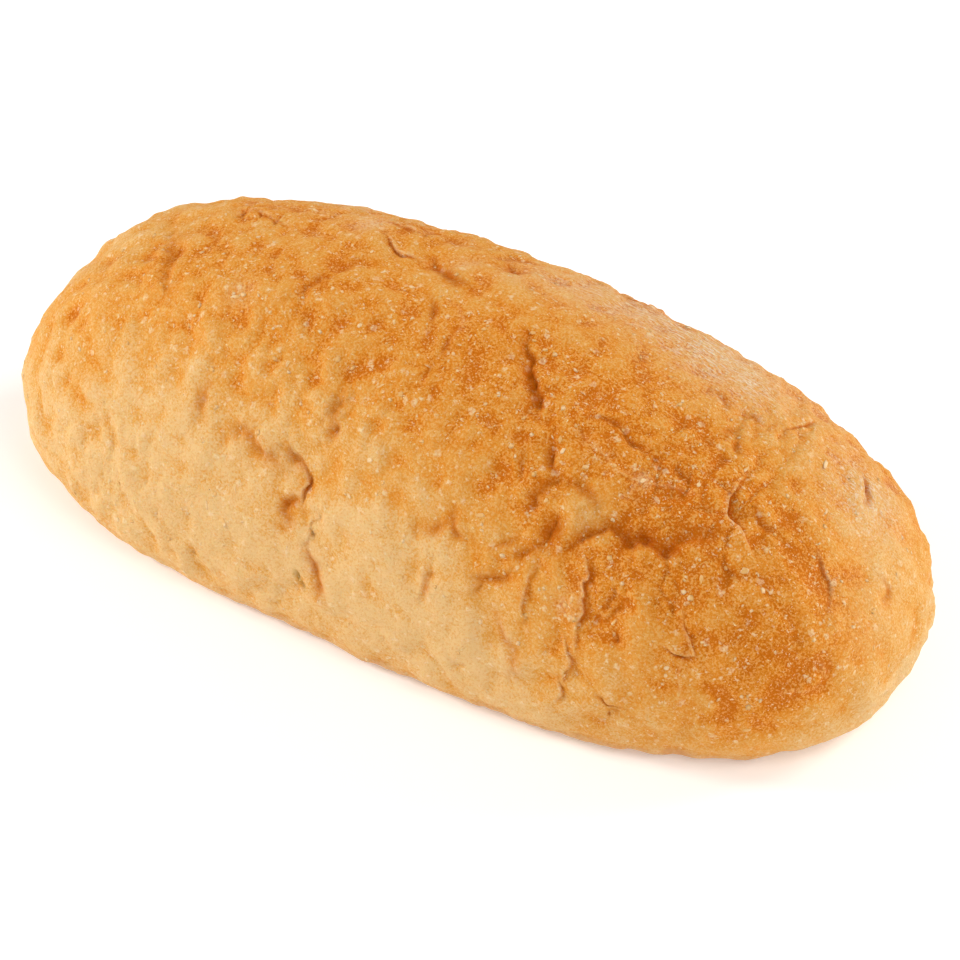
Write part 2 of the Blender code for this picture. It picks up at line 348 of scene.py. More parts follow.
class LoafShape(bpy.types.PropertyGroup):
    """Sizes of the loaf and of the texture of its crust."""

    length: bpy.props.FloatProperty(
        name="Length", description="End to end", default=LOAF_SIZE.x, unit="LENGTH")
    width: bpy.props.FloatProperty(
        name="Width", description="Side to side", default=LOAF_SIZE.y, unit="LENGTH")
    height: bpy.props.FloatProperty(
        name="Height", description="Base to top", default=LOAF_SIZE.z, unit="LENGTH")
    cell: bpy.props.FloatProperty(
        name="Cell", description="Side of one mesh cell away from the creases",
        default=1.5 * MM, unit="LENGTH")
    unevenness: bpy.props.FloatProperty(
        name="Unevenness", description="Height of the crust's soft swells",
        default=0.62 * MM, unit="LENGTH")
    wrinkling: bpy.props.FloatProperty(
        name="Wrinkling", description="Depth of the fine wrinkles in the skin",
        default=0.22 * MM, unit="LENGTH")
    crease_depth: bpy.props.FloatProperty(
        name="Crease depth", description="Share of the creases' full depth",
        default=0.94, min=0.0, max=2.0, subtype="FACTOR")


class CrustColours(bpy.types.PropertyGroup):
    """Colours of the baked crust, from the palest side to the deep brown that the painted shade
    reaches in the hollows.
    """

    pale: bpy.props.FloatVectorProperty(
        name="Pale side", description="Crust that faced away from the oven's heat",
        subtype="COLOR", default=linear("EFC588"))
    golden: bpy.props.FloatVectorProperty(
        name="Golden", description="Crust at the shoulder", subtype="COLOR",
        default=linear("E8A54E"))
    brown: bpy.props.FloatVectorProperty(
        name="Brown", description="Crust on the top", subtype="COLOR", default=linear("E58E28"))
    # Painted shade in the hollows pushes the colour towards this deep brown.
    deep: bpy.props.FloatVectorProperty(
        name="Deep brown", description="Crust in the hollows", subtype="COLOR",
        default=linear("D2700C"))
    flour: bpy.props.FloatVectorProperty(
        name="Flour", description="Flour and bran on the crust", subtype="COLOR",
        default=linear("F8D7A6"))


class StageLook(bpy.types.PropertyGroup):
    """The floor and the lamps."""

    floor_colour: bpy.props.FloatVectorProperty(
        name="Floor", description="Colour of the floor", subtype="COLOR", default=linear("F7F6F4"))
    key_power: bpy.props.FloatProperty(
        name="Key light", description="Power of the lamp on the left",
        default=11.0, unit="POWER")
    fill_power: bpy.props.FloatProperty(
        name="Fill light", description="Power of the wide lamp above on the right",
        default=5.5, unit="POWER")
    rim_power: bpy.props.FloatProperty(
        name="Rim light", description="Power of the lamp behind on the right",
        default=6.8, unit="POWER")


# ---- the loaf form


def superellipse_norm(a, b, squareness):
    """How far out a point is in two directions, where 1 is on the superellipse."""
    return (np.abs(a) ** squareness + np.abs(b) ** squareness) ** (1 / squareness)


def form_norm(ways):
    """How far out each point lies, where 1 is on the ground form, in shares of its half sizes."""
    plan = superellipse_norm(ways[:, 0], ways[:, 1], PLAN_SQUARENESS)
    dome = superellipse_norm(plan, ways[:, 2], DOME_SQUARENESS)
    foot = superellipse_norm(plan, ways[:, 2], FOOT_SQUARENESS)
    return np.where(ways[:, 2] >= 0, dome, foot)


def on_form(ways, shape):
    """The points where directions from the middle of the waist meet the ground form."""
    along, across, up = (ways / form_norm(ways)[:, None]).T
    dome_rise = (shape.height - WAIST_HEIGHT) * (1 + DOME_LEAN * along)
    rise = np.where(up >= 0, dome_rise, WAIST_HEIGHT * FOOT_SINK)
    tuck = np.where(up >= 0, 1, 1 - FOOT_TUCK * up ** 2)
    return np.column_stack((
        along * shape.length / 2 * tuck,
        across * (1 + END_TAPER * along) * shape.width / 2 * tuck,
        WAIST_HEIGHT + up * rise,
    ))


def places_on_form(places, shape):
    """The points of the ground form at (distance along X in mm, degrees round the waist line)."""
    along_mm, degrees = np.array(places, float).T
    along = along_mm * MM / (shape.length / 2)
    turn = np.radians(degrees)
    across = -np.cos(turn) / (shape.width / 2)
    up = np.sin(turn) / (shape.height - WAIST_HEIGHT)
    near = np.zeros(len(along))
    far = np.full(len(along), shape.length)
    for _ in range(HALVINGS):
        middle = (near + far) / 2
        inside = form_norm(np.column_stack((along, across * middle, up * middle))) < 1
        near = np.where(inside, middle, near)
        far = np.where(inside, far, middle)
    return on_form(np.column_stack((along, across * far, up * far)), shape)


def bell(value, width):
    """A soft bump, 1 where the value is 0, that fades over the width to both sides."""
    return np.exp(-(value / width) ** 2)


def spot_sum(ground, rows, shape):
    """The sum at each point of soft round spots, given as (along, round, radius, amount)."""
    table = np.array(rows, float)
    total = np.zeros(len(ground))
    for point, radius, amount in zip(places_on_form(table[:, :2], shape), *table[:, 2:].T):
        total += amount * bell(np.linalg.norm(ground - point, axis=1), radius * MM)
    return total


def line_on_form(places, shape):
    """A smooth line over the ground form through the places: a Catmull-Rom curve as points."""
    corners = places_on_form(places, shape)
    ends = np.vstack((2 * corners[0] - corners[1], corners, 2 * corners[-1] - corners[-2]))
    points = []
    for before, start, end, after in zip(ends, ends[1:], ends[2:], ends[3:]):
        count = max(2, int(np.linalg.norm(end - start) / LINE_STEP))
        for share in np.arange(count)[:, None] / count:
            points.append(0.5 * (
                2 * start + (end - before) * share
                + (2 * before - 5 * start + 4 * end - after) * share ** 2
                + (3 * start - before - 3 * end + after) * share ** 3
            ))
    return np.vstack(points + [corners[-1:]])


def all_lines(shape):
    """Every crease, fold, ridge and crack as a line of points, for making the mesh finer there."""
    rows = [row[-1] for row in CREASES + FOLDS + RIDGES + CRACKS]
    return np.vstack([line_on_form(places, shape) for places in rows])


# ---- the mesh


def even_box(sizes, cell):
    """A box, two units a side, whose cells come out even once they are moved onto the loaf."""
    box = bmesh.new()
    bmesh.ops.create_cube(box, size=2)
    for axis, side in enumerate(sizes):
        along_axis = [
            edge for edge in box.edges
            if abs((edge.verts[0].co - edge.verts[1].co)[axis]) > NO_LENGTH
        ]
        cuts = round(side / cell) - 1
        bmesh.ops.subdivide_edges(box, edges=along_axis, cuts=cuts, use_grid_fill=True)
    return box


def nearest_gap(points, targets):
    """How far each point is from the nearest target."""
    tree = KDTree(len(targets))
    for index, target in enumerate(targets):
        tree.insert(target, index)
    tree.balance()
    return np.array([tree.find(point)[2] for point in points])


def refine(box, targets, reach, shape):
    """Halves the cells of the box that lie within reach of the targets once on the loaf."""
    ground = on_form(np.array([v.co[:] for v in box.verts]), shape)
    near = nearest_gap(ground, targets) < reach
    box.verts.index_update()
    edges = [e for e in box.edges if near[e.verts[0].index] and near[e.verts[1].index]]
    bmesh.ops.subdivide_edges(
        box, edges=edges, cuts=1, use_grid_fill=True, use_single_edge=True)


def swelled(ground, shape):
    """The ground form with its broad swells, at the stated length, width and height."""
    middle = np.array((0, 0, WAIST_HEIGHT))
    outward = ground - middle
    outward /= np.linalg.norm(outward, axis=1)[:, None]
    points = ground + outward * spot_sum(ground, SWELLS, shape)[:, None] * MM
    low, high = points.min(axis=0), points.max(axis=0)
    low[2] = 0
    centre = (low + high) / 2
    centre[2] = 0
    size = np.array((shape.length, shape.width, shape.height))
    return (points - centre) * size / (high - low)


def set_points(mesh, points):
    """Moves the mesh's vertices to the points."""
    mesh.vertices.foreach_set("co", points.astype(np.float32).ravel())
    mesh.update()


def normals_of(mesh):
    """The mesh's vertex normals as rows."""
    normals = np.empty(len(mesh.vertices) * 3, np.float32)
    mesh.vertex_normals.foreach_get("vector", normals)
    return normals.reshape(-1, 3).astype(float)


def noise_at(points, grain, seed=0.0):
    """Smooth noise from about -1 to 1 whose features are grain metres apart."""
    moved = points / grain + seed
    return np.array([noise.noise(point) for point in moved])


def smooth_step(low, high, value):
    """0 at low, 1 at high, with soft ends. Low may be the larger."""
    share = np.clip((value - low) / (high - low), 0, 1)
    return share * share * (3 - 2 * share)


def tapered(share, margin, power):
    """How strong a line is along its way: full in the middle and weak near both ends."""
    return np.sin(np.pi * np.clip(share, margin, 1 - margin)) ** power


class Sculpt:
    """The crust while it is shaped.

    push moves each ground point out along its normal, slide moves it over the ground, and crease,
    crumb, edge, drag and lip say how much of each look is there. The crease look is painted shade
    in creases, fold hollows and cracks; the crumb look is the open crumb of tears, partly darkened
    by painted shade; the edge look is a pale line on fold edges and ridge crests, partly paler skin
    and partly a painted highlight.
    """

    def __init__(self, mesh, ground, shape):
        self.shape = shape
        self.ground = ground
        self.base = swelled(ground, shape)
        self.height = self.base[:, 2]
        set_points(mesh, self.base)
        self.normals = normals_of(mesh)
        self.push, self.crease, self.crumb, self.edge = np.zeros((4, len(ground)))
        self.slide = np.zeros((len(ground), 3))
        self.wobble = WOBBLE * np.column_stack([
            noise_at(ground, WOBBLE_GRAIN, seed) for seed in (3.1, 17.7, 41.3)])
        self.bottom = smooth_step(0.35 * MM, 2.5 * MM, self.height)
        self.drag = np.clip(spot_sum(ground, DRAWN, shape), 0, 1)

    def near_line(self, places, reach, wobble=1.0):
        """Who is near a line: indices, signed distance, gap past its end, share of way, left."""
        line = line_on_form(places, self.shape)
        points = self.ground + self.wobble * wobble
        low = line.min(axis=0) - reach
        high = line.max(axis=0) + reach
        who = np.nonzero(np.all((points > low) & (points < high), axis=1))[0]
        gaps = np.linalg.norm(points[who][:, None] - line[None], axis=2)
        nearest = gaps.argmin(axis=1)
        close = gaps[np.arange(len(who)), nearest] < reach
        who, nearest = who[close], nearest[close]
        tangent = np.gradient(line, axis=0)
        tangent /= np.linalg.norm(tangent, axis=1)[:, None]
        left = np.cross(self.normals[who], tangent[nearest])
        left /= np.linalg.norm(left, axis=1)[:, None]
        offset = points[who] - line[nearest]
        side = np.einsum("ij,ij->i", offset, left)
        past = np.abs(np.einsum("ij,ij->i", offset, tangent[nearest]))
        return who, side, past, nearest / (len(line) - 1), left

    def patchy(self, who, mean, spread):
        """A strength that comes and goes along a line, because dough doesn't part evenly."""
        return mean + spread * noise_at(self.ground[who], 4 * MM, 51.0)

    def add_crease(self, width, depth, step, steep, places):
        """A valley with soft sides, where one side may stand a step higher and fall faster."""
        width, depth = width * MM, depth * MM * self.shape.crease_depth
        who, side, past, share, _ = self.near_line(places, 2.2 * CREASE_REACH)
        strength = tapered(share, 0.06, 0.6) * self.patchy(who, 1.05, 0.4) * bell(past, 0.7 * width)
        across = np.where(side * steep > 0, side * (1 + 1.2 * abs(steep)), side / (1 + abs(steep)))
        across = np.abs(across) / width
        valley = np.exp(-across ** 1.25) - 0.15 * bell(across - 1.6, 1.0)
        level = np.tanh(side / (0.4 * width)) * bell(side, CREASE_REACH)
        level *= tapered(share, 0.02, 1.0) * bell(past, CREASE_REACH)
        self.push[who] += 0.5 * step * MM * level - depth * strength * valley
        # Painted shade along the valley, kept as the crease look.
        tint = bell(across, 1.0) * strength * min(1.0, 0.15 + 0.6 * depth / MM)
        np.maximum.at(self.crease, who, tint)

    def add_fold(self, height, reach, overhang, places):
        """A sheet of skin, on the left, that ends in a sharp edge over the lower ground. The hollow
        below the edge gets painted shade, and the edge a pale line that is partly paler thin skin
        and partly a painted highlight.
        """
        height, reach, overhang = height * MM * self.shape.crease_depth, reach * MM, overhang * MM
        who, side, past, share, left = self.near_line(places, 2 * reach, wobble=0.7)
        strength = tapered(share, 0.04, 0.7) * bell(past, 0.6 * reach) * self.patchy(who, 0.95, 0.5)
        rise = np.where(side > 0, bell(side, reach), 0)
        hollow = np.where(side > 0, 0, bell(side, 0.4 * reach))
        sheet = smooth_step(-0.5 * FOLD_LIP, 0.5 * FOLD_LIP, side)
        self.push[who] += (0.70 * rise * sheet - 0.60 * hollow * (1 - sheet)) * height * strength
        over = bell(np.maximum(side, 0), 1.6 * MM) * sheet
        self.slide[who] -= left * (0.6 * over * overhang * strength)[:, None]
        # Painted shade in the hollow below the edge.
        shade = hollow * bell(side, 0.3 * reach) * strength * min(1.0, height / MM)
        np.maximum.at(self.crease, who, shade)
        # A pale line along the edge: partly paler thin skin, partly a painted highlight.
        worn = bell(side - 0.35 * MM, 0.45 * MM) * strength * min(1.0, 1.3 * height / MM)
        np.maximum.at(self.edge, who, worn)

    def add_ridge(self, width, height, places):
        """A thin line of skin that stands up, with a pale crest line that is partly paler skin and
        partly a painted highlight.
        """
        who, side, past, share, _ = self.near_line(places, width * 5 * MM)
        crest = tapered(share, 0.05, 0.5) * bell(past, 2 * MM) * bell(side, width * MM)
        self.push[who] += height * MM * crest
        np.maximum.at(self.edge, who, 0.35 * crest)

    def add_crack(self, width, depth, places):
        """A hairline where the skin split, darkened with painted shade."""
        who, side, past, share, _ = self.near_line(places, width * 6 * MM, wobble=0.5)
        line = tapered(share, 0.05, 0.5) * bell(past, 0.5 * MM) * bell(side, width * MM)
        self.push[who] -= depth * MM * line
        np.maximum.at(self.crease, who, line)

    def add_tear(self, along, turn, half_width, half_height, depth):
        """A small open hole, longer up the side of the loaf than along it."""
        centre = places_on_form([(along, turn)], self.shape)[0]
        offset = (self.ground + 0.5 * self.wobble - centre) / MM
        rest = np.linalg.norm(offset[:, 1:], axis=1)
        share = np.hypot(offset[:, 0] / half_width, rest / half_height)
        hole = depth * (1 - smooth_step(0.55, 1.25, share)) - 0.15 * bell(share - 1.6, 0.5)
        self.push -= hole * MM
        # The crumb look, which the material colours olive brown: partly crumb, partly painted shade
        # in the hole.
        self.crumb = np.maximum(self.crumb, 1 - smooth_step(0.7, 1.2, share))

    def scatter(self, count, radii, heights, seed):
        """Small dents or blisters at random places, each stretched its own way."""
        chance = random.Random(seed)
        tree = KDTree(len(self.ground))
        for index, point in enumerate(self.ground):
            tree.insert(point, index)
        tree.balance()
        for _ in range(count):
            centre = Vector(self.ground[chance.randrange(len(self.ground))])
            radius = chance.uniform(*radii) * MM
            height = chance.uniform(*heights) * MM
            stretch = Vector([chance.uniform(0.6, 1.5) for _ in range(3)])
            for point, index, _ in tree.find_range(centre, 2.2 * radius):
                share = ((point - centre) * stretch).length / radius
                self.push[index] += height * math.exp(-share * share)

    def add_noise(self):
        """Soft unevenness all over, and wrinkles in the skin where the dough drew together."""
        ground, wobble, wrinkling = self.ground, self.wobble, self.shape.wrinkling
        for grain, share, seed, bent in UNEVEN_LAYERS:
            swell = noise_at(ground + bent * wobble, grain * MM, seed)
            self.push += self.shape.unevenness * share * swell
        drawn_in = smooth_step(-0.25, 0.35, noise_at(ground, 30 * MM, 12.4))
        upright = ground * np.array((1, 0.42, 0.42)) + wobble
        for points, grain, seed, depth, width, least, more in (
                (ground + 2 * wobble, 9, 7.7, 2.4, 0.10, 0.4, 0.8),
                (upright, 5, 23.0, 1.8, 0.12, 0.3, 1.0)):
            wrinkle = np.exp(-(np.abs(noise_at(points, grain * MM, seed)) / width) ** 1.2)
            self.push -= wrinkling * depth * wrinkle * (least + more * drawn_in)

    def calm(self):
        """Lowers the unevenness where the skin was drawn out smooth, and round the foot."""
        self.push *= 1 - 0.7 * self.drag
        self.push *= 1 - 0.4 * smooth_step(FOOT_TOP, 6 * MM, self.height)

    def add_streaks(self):
        """Fine lines drawn along the loaf at the back shoulder, and level ones round the foot."""
        turned = self.ground @ np.array(Matrix.Rotation(DRAW_TURN, 3, "Z")).T
        lines = noise_at(turned * np.array((0.10, 1, 1)), 1.5 * MM, 4.4)
        self.push += 0.35 * MM * lines * self.drag
        rings = noise_at(self.ground * np.array((0.09, 0.09, 1)), 1.5 * MM, 8.8)
        self.push += 0.16 * MM * rings * smooth_step(FOOT_TOP, 5 * MM, self.height) * self.bottom

    def add_lip(self):
        """The low roll where the skin met the baking stone, with a groove above it."""
        flat = self.ground * np.array((1, 1, 0))
        sway = noise_at(flat, 22 * MM, 6.2) + 0.15 * noise_at(flat, 6 * MM, 16.2)
        top = (4.2 + 1.6 * sway) * MM
        strength = 0.45 + 0.55 * smooth_step(-0.3, 0.4, noise_at(self.ground, 34 * MM, 1.9))
        roll = bell(self.height - 0.5 * top, 0.42 * top)
        groove = bell(self.height - 1.25 * top, 0.9 * MM)
        self.push += (0.7 * roll - 0.5 * groove) * strength * MM * self.bottom
        self.lip = smooth_step(1.25 * top, 0.85 * top, self.height) * strength

    def add_base_texture(self):
        """Shallow pits in the flat underside. They only go up into the loaf."""
        pits = noise_at(self.ground, 5 * MM, 3.3) + 0.6 * noise_at(self.ground, 2.2 * MM, 14.2)
        depth = 0.5 * MM * smooth_step(0.1, 0.8, pits)
        self.pit = np.where(self.height < 0.3 * MM, depth, 0)

    def result(self):
        """The finished points. Nothing goes below the plane that the loaf stands on."""
        points = self.base + self.normals * (self.push * self.bottom)[:, None]
        points += self.slide * self.bottom[:, None]
        points[:, 2] = np.maximum(points[:, 2], 0) + self.pit
        return points


def smoothed(values, mesh_edges, rounds):
    """Values averaged with their neighbours over the mesh, several times."""
    count = len(values)
    starts, ends = mesh_edges.T
    degree = np.bincount(mesh_edges.ravel(), minlength=count)
    for _ in range(rounds):
        summed = np.bincount(starts, values[ends], count) + np.bincount(ends, values[starts], count)
        values = 0.5 * values + 0.5 * summed / degree
    return values


def hollowness(points, normals, mesh_edges, rounds):
    """How far each point lies under the smoothed surface round it, in metres."""
    soft = np.column_stack([smoothed(points[:, axis], mesh_edges, rounds) for axis in range(3)])
    return np.einsum("ij,ij->i", soft - points, normals)


def browning_and_shading_of(ground, shape):
    """How brown each point is, from 0 on the pale sides to 1: the oven's colour, with painted shade
    towards the foot and painted light round the top.
    """
    height = ground[:, 2] - WAIST_HEIGHT
    turn = np.degrees(np.arctan2(height, np.abs(ground[:, 1])))
    along = ground[:, 0] / MM
    start = np.interp(along, *BROWN_FROM)
    brown = 0.04 + np.interp(along, *BROWN_MOST) * smooth_step(start - 42, start + 34, turn)
    brown += 0.12 * smooth_step(-70, -115, along) * smooth_step(60, 0, turn)
    # Paler round the top: painted light where the back lamp and sheen fall.
    brown -= 0.16 * smooth_step(74, 92, turn)
    # Browner below the waist towards the foot: painted shade.
    brown += 0.12 * smooth_step(-WAIST_HEIGHT * 0.2, -WAIST_HEIGHT * 0.8, height)
    # The spots are partly real brown patches and partly painted shade and light.
    brown += spot_sum(ground, TONE_AND_SHADE_SPOTS, shape)
    brown += 0.11 * noise_at(ground, 17 * MM, 44.0) + 0.10 * noise_at(ground, 6 * MM, 21.0)
    return np.clip(brown, 0, 1)


def crust_mesh(shape):
    """The crust: a box of even cells, finer along the lines, sculpted into the baked loaf."""
    box = even_box((shape.length, shape.width, shape.height), shape.cell)
    lines = all_lines(shape)
    for reach in FINER_REACHES:
        refine(box, lines, reach, shape)
    ways = np.array([v.co[:] for v in box.verts])
    mesh = bpy.data.meshes.new("loaf_crust")
    box.to_mesh(mesh)
    box.free()
    sculpt = Sculpt(mesh, on_form(ways, shape), shape)
    sculpt.add_noise()
    for row in SCATTERED:
        sculpt.scatter(*row)
    sculpt.calm()
    sculpt.add_streaks()
    sculpt.add_lip()
    sculpt.add_base_texture()
    sculpt.push -= MM * spot_sum(sculpt.ground + 2 * sculpt.wobble, DENTS, shape)
    for add, rows in (
            (sculpt.add_crease, CREASES), (sculpt.add_fold, FOLDS), (sculpt.add_ridge, RIDGES),
            (sculpt.add_crack, CRACKS), (sculpt.add_tear, TEARS)):
        for row in rows:
            add(*row)
    set_points(mesh, sculpt.result())
    write_looks(mesh, sculpt)
    mesh.shade_smooth()
    return mesh


def write_looks(mesh, sculpt):
    """Attributes that the crust's material reads, each from 0 to 1."""
    edges = np.empty(len(mesh.edges) * 2, np.int32)
    mesh.edges.foreach_get("vertices", edges)
    edges = edges.reshape(-1, 2)
    hollow = hollowness(sculpt.result(), normals_of(mesh), edges, 14) / HOLLOW_DEPTH
    hollow = np.clip(smoothed(hollow, edges, 2), -1, 1)
    browning = browning_and_shading_of(sculpt.ground, sculpt.shape)
    # Painted shade in the hollows and painted light on the bumps, added to the brown colour.
    relief_shading = 0.38 * np.clip(hollow, 0, 1) - 0.20 * np.clip(-hollow, 0, 1)
    looks = {
        "browning": browning + relief_shading * (0.55 + 0.8 * browning),
        "crease": sculpt.crease,
        "crumb": sculpt.crumb,
        # Flour spots, plus the pale line on fold edges and ridge crests, which is partly a painted
        # highlight.
        "dust": spot_sum(sculpt.ground, DUSTINGS, sculpt.shape) + sculpt.edge,
        "drag": sculpt.drag,
        "lip": sculpt.lip,
        "under": smooth_step(1.2 * MM, 0.2 * MM, sculpt.height),
    }
    for name, values in looks.items():
        attribute = mesh.attributes.new(name, "FLOAT", "POINT")
        attribute.data.foreach_set("value", np.clip(values, 0, 1).astype(np.float32))


# ---- materials


MATH = "ShaderNodeMath"
MIX = "ShaderNodeMix"
NOISE = "ShaderNodeTexNoise"
RANGE = "ShaderNodeMapRange"
SOFT = {"interpolation_type": "SMOOTHSTEP"}
SUM = {"operation": "MULTIPLY_ADD"}
PRODUCT = {"operation": "MULTIPLY"}


def add_node(tree, kind, settings, links=None, output=0):
    """Adds a node, sets its properties and input values, links its inputs and returns an output."""
    node = tree.nodes.new(kind)
    for name, value in settings.items():
        if isinstance(name, str) and hasattr(node, name):
            setattr(node, name, value)
        else:
            node.inputs[name].default_value = value
    for name, source in (links or {}).items():
        tree.links.new(source, node.inputs[name])
    return node.outputs[output]


def new_material(name, constants):
    """A material, its node tree, its shader with constant values, and the piece's coordinates."""
    material = bpy.data.materials.new(name)
    material.use_nodes = True
    tree = material.node_tree
    shader = tree.nodes["Principled BSDF"]
    for socket, value in constants.items():
        shader.inputs[socket].default_value = value
    where = add_node(tree, "ShaderNodeTexCoord", {}, output="Object")
    return material, tree, shader, where


def speckles(tree, where, spacing_mm, size_mm, share):
    """Spots of up to size_mm, one to a cell of spacing_mm, in a share of the cells."""
    distance = add_node(
        tree, "ShaderNodeTexVoronoi", {"Scale": 1 / (spacing_mm * MM)}, {"Vector": where})
    chance = add_node(
        tree, "ShaderNodeSeparateColor", {}, {"Color": distance.node.outputs["Color"]}).node.outputs
    radius = size_mm / spacing_mm / 2
    kept = add_node(tree, MATH, {"operation": "LESS_THAN", 1: share}, {0: chance[0]})
    reach = add_node(tree, RANGE, {**SOFT, 3: 0.45 * radius, 4: radius}, {0: chance[1]})
    inside = add_node(tree, MATH, {"operation": "DIVIDE"}, {0: distance, 1: reach})
    spot = add_node(tree, RANGE, {**SOFT, 1: 0.55, 2: 1.15, 3: 1.0, 4: 0.0}, {0: inside})
    return add_node(tree, MATH, PRODUCT, {0: spot, 1: kept})


def baked_crust(colours):
    """Wheat crust from a hot oven: a dry, thin skin of browned starch and sugars over white crumb.

    To the eye it is matt gold with a faint sheen, mottled brown at many scales. The brown
    places show light grains, and flour and bran lie on it as pale flecks. Its colour also holds
    painted shade in hollows, creases, cracks and tears, and painted light on bumps, round the top
    and on fold edges.
    """
    material, tree, shader, where = new_material("baked_wheat_crust", {
        "IOR": 1.45,
        "Specular IOR Level": 0.06,
        "Subsurface Weight": 0.22,
        "Subsurface Scale": 1.6 * MM,
        "Subsurface Radius": (1.0, 0.45, 0.15),
        "Sheen Weight": 0.02,
        "Sheen Roughness": 0.4,
    })
    browning, crease, crumb, dust, drag, lip, under = (
        add_node(tree, "ShaderNodeAttribute", {"attribute_name": name}, output="Fac")
        for name in ("browning", "crease", "crumb", "dust", "drag", "lip", "under"))
    turned, drawn = (
        add_node(tree, "ShaderNodeMapping", {"Rotation": turn, "Scale": scale}, {"Vector": where})
        for turn, scale in (((0.2, 0, 0.7), (1, 1, 1)), ((0, 0, DRAW_TURN), (0.07, 1, 1))))

    # Unevenness of many sizes: grain in mm, detail, roughness.
    patches, mottle, fine, cloud, floury, lines = (
        add_node(
            tree, NOISE, {"Scale": 1 / (grain * MM), "Detail": detail, "Roughness": rough},
            {"Vector": place})
        for grain, detail, rough, place in (
            (9, 3, 0.5, where), (2.6, 3, 0.6, where), (0.55, 2, 0.7, where), (0.9, 3, 0.7, where),
            (5, 4, 0.65, where), (0.6, 2, 0.6, drawn)))

    # The oven browns the skin in patches about 9 mm and 2.6 mm across.
    tone = browning
    for pattern in (patches, mottle):
        tone = add_node(tree, MATH, {**SUM, 1: 0.28}, {0: pattern, 2: tone})
    tone = add_node(tree, MATH, {"operation": "SUBTRACT", "use_clamp": True, 1: 0.28}, {0: tone})

    # Starch grains, 0.5 mm apart as drawn: real ones are finer than the eye parts.
    cells = add_node(tree, "ShaderNodeTexVoronoi", {"Scale": 1 / (0.5 * MM)}, {"Vector": where})
    chance = add_node(tree, "ShaderNodeSeparateColor", {}, {"Color": cells.node.outputs["Color"]})
    grains = add_node(tree, MATH, {**SUM, 1: 0.26}, {0: chance, 2: fine})

    # Bran up to 2.1 mm, flecks and slivers up to 1.1 mm and sparks up to 0.5 mm across, with bent
    # outlines, and charred pin specks up to 0.5 mm.
    sway = add_node(
        tree, NOISE, {"Scale": 1 / (0.9 * MM), "Detail": 1.0}, {"Vector": where}, "Color")
    bent = add_node(
        tree, "ShaderNodeVectorMath", {**SUM, 1: (1.6 * MM,) * 3}, {0: sway, 2: where})
    long_way = add_node(
        tree, "ShaderNodeMapping", {"Rotation": (0.5, 0.9, 0.3), "Scale": (0.45, 1.2, 0.8)},
        {"Vector": bent})
    bran, small, slivers, sparks, pins = (
        speckles(tree, place, *sizes) for place, *sizes in (
            (bent, 3.4, 2.1, 0.44), (bent, 1.7, 1.1, 0.40), (long_way, 2.2, 1.1, 0.26),
            (bent, 0.9, 0.5, 0.45), (turned, 5.5, 0.5, 0.3)))
    flecks = add_node(tree, MATH, {**PRODUCT, 1: 0.85}, {0: bran})
    for more in (small, slivers):
        flecks = add_node(tree, MATH, {"operation": "MAXIMUM"}, {0: flecks, 1: more})

    # Where each pattern fades in, and the amounts it fades between.
    light_grain, dark_grain, worn, patchy, foot, rough, cover, floury, lines, gleam, sparkle = (
        add_node(tree, RANGE, {**SOFT, 1: start, 2: end, 3: low, 4: high}, {0: pattern})
        for pattern, start, end, low, high in (
            (grains, 0.63, 0.79, 0, 1), (grains, 0.63, 0.47, 0, 1),
            (grains, 0.48, 0.73, 0.40, 0.85), (mottle, 0.3, 0.6, 0.7, 1.0),
            (mottle, 0.3, 0.7, 0.25, 0.65), (mottle, 0.3, 0.7, 0.56, 0.70),
            (cloud, 0.38, 0.66, 0.10, 0.65),
            (floury, 0.40, 0.66, 0, 1), (lines, 0.50, 0.62, 0, 0.85),
            (tone, 0, 0.7, 0.14, 0.40), (tone, 0, 0.7, 0.45, 0.95)))
    speckled = add_node(tree, RANGE, {**SOFT, 4: 0.5}, {0: dark_grain})
    light, shown, sparks_shown, flour_and_edge_highlight, lines, crease_shade, foot, floury, speckled = (
        add_node(tree, MATH, PRODUCT, {0: pattern, 1: amount}) for pattern, amount in (
            (light_grain, gleam), (flecks, worn), (sparks, sparkle), (cover, dust), (lines, drag),
            (crease, patchy), (foot, lip), (floury, under), (speckled, under)))
    pins_shown = add_node(tree, MATH, {**PRODUCT, 1: 0.6}, {0: pins})
    shaded_crumb = add_node(tree, MATH, {**PRODUCT, 1: 0.75}, {0: crumb})

